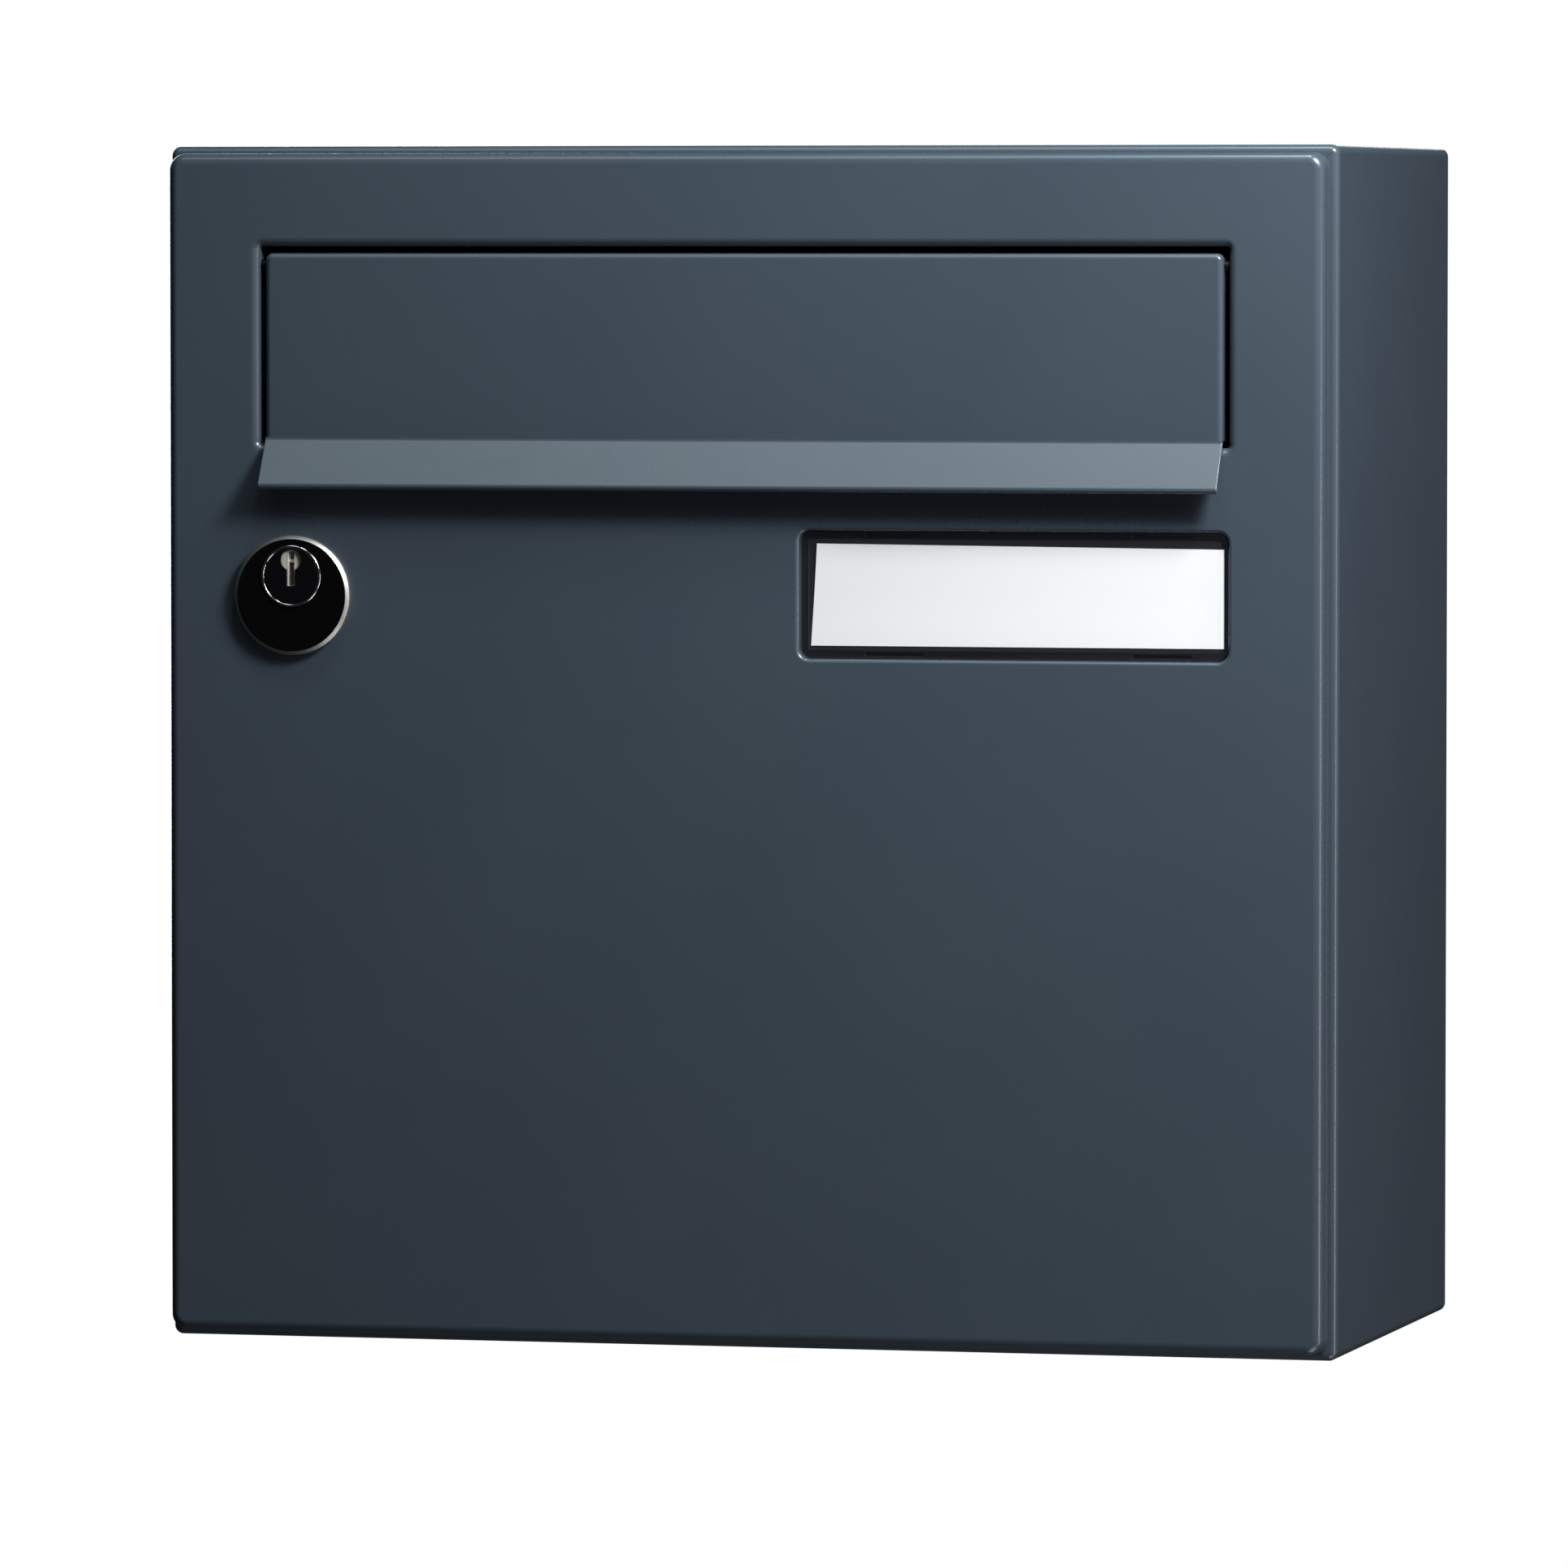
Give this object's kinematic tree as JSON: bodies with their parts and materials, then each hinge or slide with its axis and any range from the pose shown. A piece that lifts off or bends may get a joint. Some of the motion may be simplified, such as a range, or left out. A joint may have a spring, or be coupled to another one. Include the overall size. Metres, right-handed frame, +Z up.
{
  "type": "wall mounted mailbox",
  "caption": "Wall mounted steel letter box with a side-hinged overlay door, a top-hung letter flap with a finger lip, a cam lock with a round escutcheon and a clear name plate.",
  "frame": {"origin": "centre of the four wall holes, on the back face that meets the wall", "axes": "+Z up, +X to the right of someone facing the box, -Y out of the wall, so that the door faces -Y"},
  "size_m": [0.4, 0.2089, 0.4],
  "materials": {
    "powder_coat": "satin anthracite-grey powder coat on folded sheet steel",
    "zinc_steel": "bright zinc-plated steel",
    "blackened_steel": "black-oxidised steel",
    "aluminium_rivet": "plain aluminium blind rivets",
    "chrome": "polished chrome plate on die-cast zinc",
    "nickel": "nickel-plated brass, slightly worn",
    "brass": "bare stamped brass",
    "black_escutcheon": "gloss black moulding with a bright worn bevel",
    "black_plastic": "fine-textured black moulding",
    "clear_plastic": "clear polished plastic moulding",
    "card_paper": null,
    "rubber": "matt black rubber"
  },
  "bodies": {
    "cabinet": {"cabinet_shell": "powder_coat", "back_panel": "powder_coat", "door_bumpers": "rubber", "upper_hinge_body_leaf": "zinc_steel", "lower_hinge_body_leaf": "zinc_steel", "upper_hinge_pin": "zinc_steel", "lower_hinge_pin": "zinc_steel", "hinge_rivets": "aluminium_rivet"},
    "door": {"door_panel": "powder_coat", "upper_hinge_door_leaf": "zinc_steel", "lower_hinge_door_leaf": "zinc_steel", "weld_studs": "zinc_steel", "stud_nuts": "zinc_steel", "theft_guard": "zinc_steel", "flap_axle": "blackened_steel", "axle_clips": "blackened_steel", "flap_buffers": "rubber", "label_holder": "black_plastic", "label_card": "card_paper", "lock_escutcheon": "black_escutcheon", "lock_barrel": "chrome", "lock_nut": "zinc_steel"},
    "flap": {"letter_flap": "powder_coat"},
    "name_cover": {"label_cover": "clear_plastic"},
    "lock_core": {"lock_face": "black_plastic", "lock_plug": "nickel", "lock_wafers": "brass", "stop_washer": "zinc_steel", "lock_cam": "zinc_steel", "cam_screw": "zinc_steel"}
  },
  "joints": [
    {"name": "door_hinge", "type": "hinge", "parent": "cabinet", "child": "door", "pos_m": [0.19425, -0.193, 0], "axis": [0, 0, 1], "range_deg": [0, 100]},
    {"name": "flap_hinge", "type": "hinge", "parent": "door", "child": "flap", "pos_m": [0, -0.1956, 0.1603], "axis": [-1, 0, 0], "range_deg": [0, 75]},
    {"name": "lock_turn", "type": "hinge", "parent": "door", "child": "lock_core", "pos_m": [-0.1535, -0.2, 0.0565], "axis": [0, 1, 0], "range_deg": [0, 90]},
    {"name": "cover_slide", "type": "slide", "parent": "door", "child": "name_cover", "axis": [0, -1, 0], "range_m": [0, 0.012]}
  ]
}
